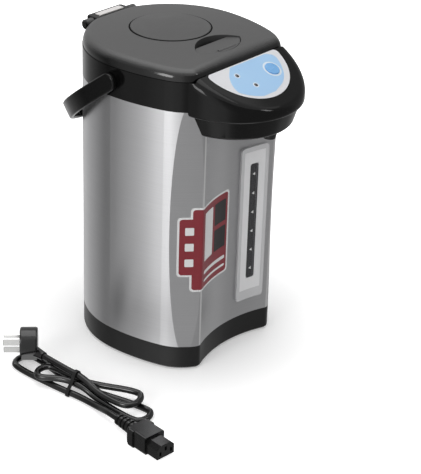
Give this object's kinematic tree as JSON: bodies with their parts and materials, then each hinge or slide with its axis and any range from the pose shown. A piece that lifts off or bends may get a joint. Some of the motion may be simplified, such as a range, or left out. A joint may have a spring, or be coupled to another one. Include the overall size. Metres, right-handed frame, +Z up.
{
  "type": "electric airpot",
  "caption": "Electric hot water airpot with an overhanging pouring head, sloping control panel, hand-pump lid, water gauge, strap handle and tied mains lead.",
  "frame": {"origin": "on the floor under the axis of the round back of the body", "axes": "+Z up, -Y towards the front where the spout is, +X to the right when facing the front from inside"},
  "size_m": [0.3248, 0.3001, 0.3535],
  "materials": {
    "brushed_steel": "brushed",
    "black_gloss": "gloss",
    "lid_black": "satin",
    "disc_grey": "satin",
    "panel_print": "satin",
    "button_plastic": "satin",
    "clear_plastic": "clear",
    "lens_red": "gloss",
    "dark_plastic": "satin",
    "rubber_black": "matte",
    "silicone": "matte",
    "pot_steel": "satin",
    "heater_mica": "matte",
    "board_green": "satin",
    "steel_bright": "polished",
    "impeller_plastic": "satin",
    "brass_pins": "polished",
    "pale_strip": "matte",
    "cord_pvc": "satin",
    "tie_wire": "satin"
  },
  "bodies": {
    "pot": {"outer_casing": "brushed_steel", "shoulder": "black_gloss", "chin_cover": "black_gloss", "hinge_block": "black_gloss", "panel_plate": "panel_print", "gauge_plate": "panel_print", "gauge_window": "clear_plastic", "gauge_tube": "clear_plastic", "indicator_lenses": "lens_red", "base_ring": "dark_plastic", "base_plate": "dark_plastic", "spout_nozzle": "dark_plastic", "mains_inlet": "dark_plastic", "pump_housing": "dark_plastic", "handle_pivots": "dark_plastic", "rubber_feet": "rubber_black", "rim_seal": "silicone", "suction_hose": "silicone", "riser_hose": "silicone", "inner_pot": "pot_steel", "vessel_floor": "pot_steel", "delivery_pipe": "pot_steel", "band_heater": "heater_mica", "control_board": "board_green", "base_screws": "steel_bright", "cup_lever_pin": "steel_bright", "hinge_pin": "steel_bright", "pump_motor": "steel_bright", "thermostat": "steel_bright", "inlet_pins": "brass_pins", "plug_pins": "brass_pins", "hinge_strip": "pale_strip", "mains_cord": "cord_pvc", "plug_body": "cord_pvc", "appliance_connector": "cord_pvc", "connector_relief": "cord_pvc", "hank_tie": "tie_wire"},
    "lid": {"lid_cover": "lid_black", "lid_plug": "dark_plastic", "lid_gasket": "silicone", "bellows": "silicone", "press_spring": "steel_bright", "lid_lever_pin": "dark_plastic"},
    "press": {"press_disc": "disc_grey"},
    "lever": {"lid_lever": "lid_black"},
    "handle": {"handle": "black_gloss"},
    "button": {"dispense_button": "button_plastic"},
    "cup_lever": {"cup_lever": "dark_plastic"},
    "rotor": {"pump_impeller": "impeller_plastic"}
  },
  "joints": [
    {"name": "lid_hinge", "type": "hinge", "parent": "pot", "child": "lid", "pos_m": [0, 0.093, 0.34], "axis": [-1, 0, 0], "range_deg": [0, 95]},
    {"name": "press", "type": "slide", "parent": "lid", "child": "press", "axis": [0, 0, -1], "range_m": [0, 0.016], "stiffness_N_per_m": 300, "springref_m": -0.01, "deforming": ["bellows", "press_spring"]},
    {"name": "lid_lever", "type": "hinge", "parent": "lid", "child": "lever", "pos_m": [0, -0.073, 0.3465], "axis": [1, 0, 0], "range_deg": [0, 30], "stiffness_Nm_per_rad": 0.05, "springref_deg": -11.46},
    {"name": "handle_swing", "type": "hinge", "parent": "pot", "child": "handle", "pos_m": [0, -0.004, 0.32], "axis": [1, 0, 0], "range_deg": [0, 127]},
    {"name": "button_press", "type": "slide", "parent": "pot", "child": "button", "axis": [0, 0.4321, -0.9018], "range_m": [0, 0.0012], "stiffness_N_per_m": 800, "springref_m": -0.001},
    {"name": "cup_press", "type": "hinge", "parent": "pot", "child": "cup_lever", "pos_m": [0, -0.121, 0.284], "axis": [1, 0, 0], "range_deg": [0, 10], "stiffness_Nm_per_rad": 0.05, "springref_deg": -11.46},
    {"name": "pump_spin", "type": "hinge", "parent": "pot", "child": "rotor", "pos_m": [0.03335, -0.042, 0.033], "axis": [0, 0, 1], "continuous": true}
  ]
}
